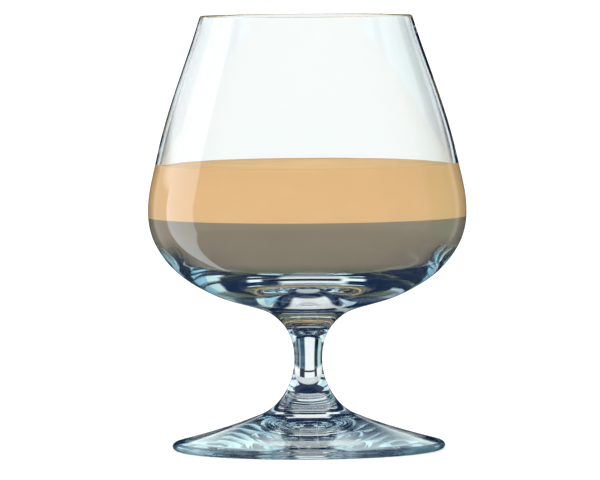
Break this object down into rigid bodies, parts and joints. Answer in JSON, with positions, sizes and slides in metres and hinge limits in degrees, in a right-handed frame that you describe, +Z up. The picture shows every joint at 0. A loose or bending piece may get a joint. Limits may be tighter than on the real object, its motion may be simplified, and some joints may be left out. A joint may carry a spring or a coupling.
{
  "type": "layered cream cocktail in a balloon glass",
  "caption": "Stemmed balloon glass with a thick solid bowl base, holding an opaque drink in two level layers, tan over grey brown.",
  "frame": {"origin": "on the glass's axis, at the level of the standing ring under the foot", "axes": "+Z up along the axis of the glass, which is round, so X and Y are free"},
  "size_m": [0.094, 0.094, 0.128],
  "materials": {
    "clear_glass": "clear polished soda lime glass, faintly blue green where it is thick",
    "drink_grey_brown": "opaque milky grey brown liquid, smooth and wet",
    "drink_tan": "opaque milky tan liquid, smooth and wet"
  },
  "bodies": {
    "root": {"glass": "clear_glass", "layer_lower": "drink_grey_brown", "layer_upper": "drink_tan"}
  },
  "joints": []
}
